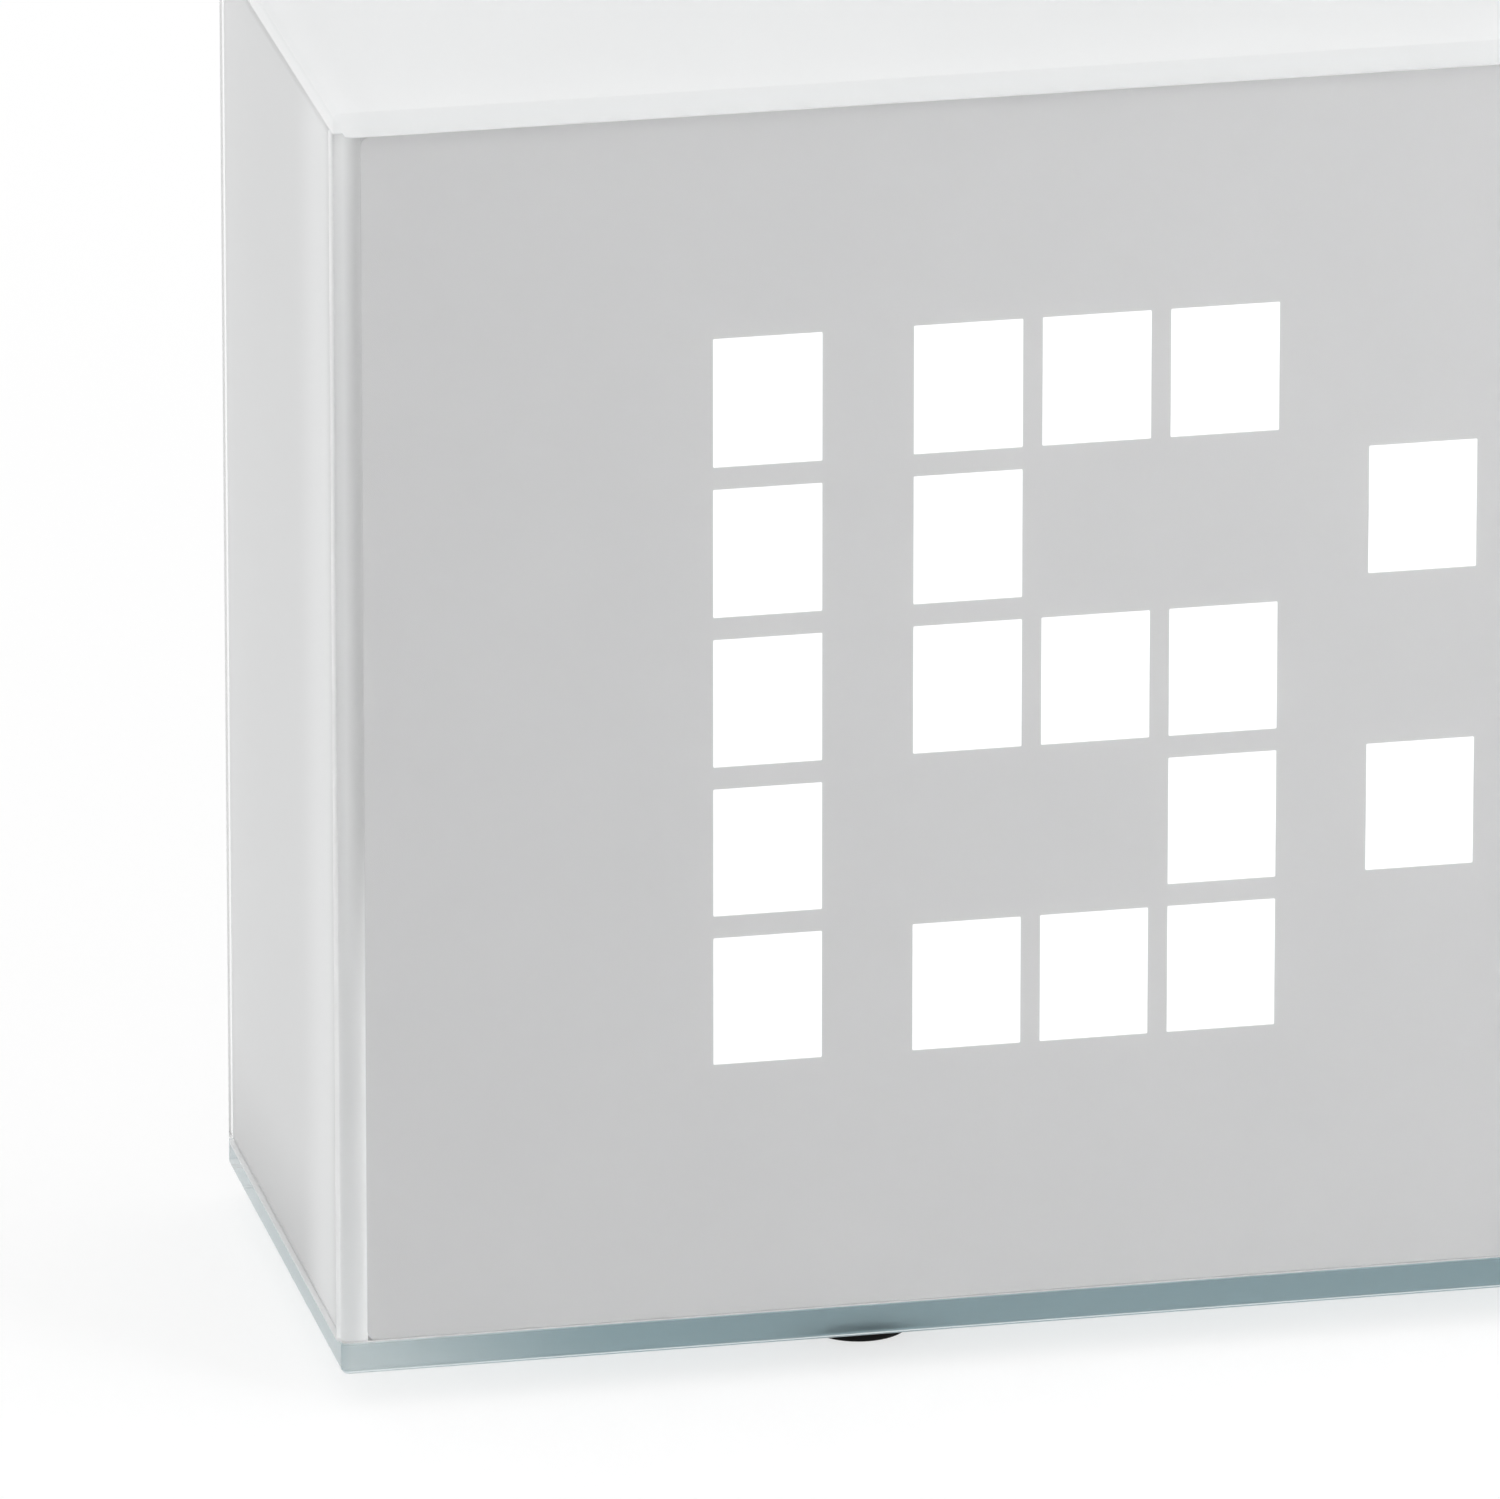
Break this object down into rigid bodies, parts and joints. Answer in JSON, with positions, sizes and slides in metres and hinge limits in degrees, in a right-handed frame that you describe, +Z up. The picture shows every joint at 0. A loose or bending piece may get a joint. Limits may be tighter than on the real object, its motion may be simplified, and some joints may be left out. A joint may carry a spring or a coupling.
{
  "type": "digital alarm clock",
  "caption": "Free-standing box clock with large square-cell digits behind a clear acrylic shell, a snooze bar on top and setting buttons behind.",
  "frame": {"origin": "on the table, under the middle of the case", "axes": "+X to the right as the clock faces the viewer, +Y to the rear, +Z up"},
  "size_m": [0.134, 0.0376, 0.083],
  "materials": {
    "clear_acrylic": "polished clear acrylic",
    "white_plastic": "satin moulded",
    "face_film": "flat silver grey, lets lamp light through",
    "diffuser": "milky",
    "black_plastic": "satin",
    "board": "solder mask",
    "steel": "zinc plated",
    "contact_brass": "bright",
    "speaker_paper": "felted paper",
    "flat_cable": "smooth",
    "rubber": "matte black"
  },
  "bodies": {
    "case": {"clear_shell": "clear_acrylic", "inner_housing": "white_plastic", "light_baffle": "white_plastic", "rear_cover": "white_plastic", "face_film": "face_film", "diffuser_sheet": "diffuser", "driver_chip": "black_plastic", "clock_chip": "black_plastic", "slide_switch": "black_plastic", "power_jack": "black_plastic", "snooze_switch": "black_plastic", "time_switch": "black_plastic", "alarm_switch": "black_plastic", "hour_switch": "black_plastic", "minute_switch": "black_plastic", "dimmer_switch": "black_plastic", "led_board": "board", "main_board": "board", "snooze_board": "board", "quartz_crystal": "steel", "speaker_frame": "steel", "speaker_magnet": "steel", "coin_cell": "steel", "led_board_screw_1": "steel", "led_board_screw_2": "steel", "led_board_screw_3": "steel", "led_board_screw_4": "steel", "main_board_screw_1": "steel", "main_board_screw_2": "steel", "main_board_screw_3": "steel", "main_board_screw_4": "steel", "cover_screw_1": "steel", "cover_screw_2": "steel", "cover_screw_3": "steel", "cover_screw_4": "steel", "battery_contact_floor": "contact_brass", "battery_contact_side": "contact_brass", "speaker_cone": "speaker_paper", "ribbon_cable": "flat_cable", "foot_1": "rubber", "foot_2": "rubber", "foot_3": "rubber", "foot_4": "rubber"},
    "time_button": {"time_button": "white_plastic", "time_plunger": "white_plastic"},
    "alarm_button": {"alarm_button": "white_plastic", "alarm_plunger": "white_plastic"},
    "hour_button": {"hour_button": "white_plastic", "hour_plunger": "white_plastic"},
    "minute_button": {"minute_button": "white_plastic", "minute_plunger": "white_plastic"},
    "dimmer_button": {"dimmer_button": "white_plastic", "dimmer_plunger": "white_plastic"},
    "snooze_bar": {"snooze_bar": "white_plastic", "snooze_plunger": "white_plastic"},
    "alarm_slider": {"alarm_slider": "white_plastic"},
    "battery_door": {"battery_door": "white_plastic"}
  },
  "joints": [
    {"name": "time_press", "type": "slide", "parent": "case", "child": "time_button", "axis": [0, -1, 0], "range_m": [0, 0.0006], "stiffness_N_per_m": 1500},
    {"name": "alarm_press", "type": "slide", "parent": "case", "child": "alarm_button", "axis": [0, -1, 0], "range_m": [0, 0.0006], "stiffness_N_per_m": 1500},
    {"name": "hour_press", "type": "slide", "parent": "case", "child": "hour_button", "axis": [0, -1, 0], "range_m": [0, 0.0006], "stiffness_N_per_m": 1500},
    {"name": "minute_press", "type": "slide", "parent": "case", "child": "minute_button", "axis": [0, -1, 0], "range_m": [0, 0.0006], "stiffness_N_per_m": 1500},
    {"name": "dimmer_press", "type": "slide", "parent": "case", "child": "dimmer_button", "axis": [0, -1, 0], "range_m": [0, 0.0006], "stiffness_N_per_m": 1500},
    {"name": "snooze_press", "type": "slide", "parent": "case", "child": "snooze_bar", "axis": [0, 0, -1], "range_m": [0, 0.0006], "stiffness_N_per_m": 1500},
    {"name": "alarm_slide", "type": "slide", "parent": "case", "child": "alarm_slider", "axis": [1, 0, 0], "range_m": [0, 0.003]},
    {"name": "battery_door_pull", "type": "slide", "parent": "case", "child": "battery_door", "axis": [0, 1, 0], "range_m": [0, 0.012]}
  ]
}
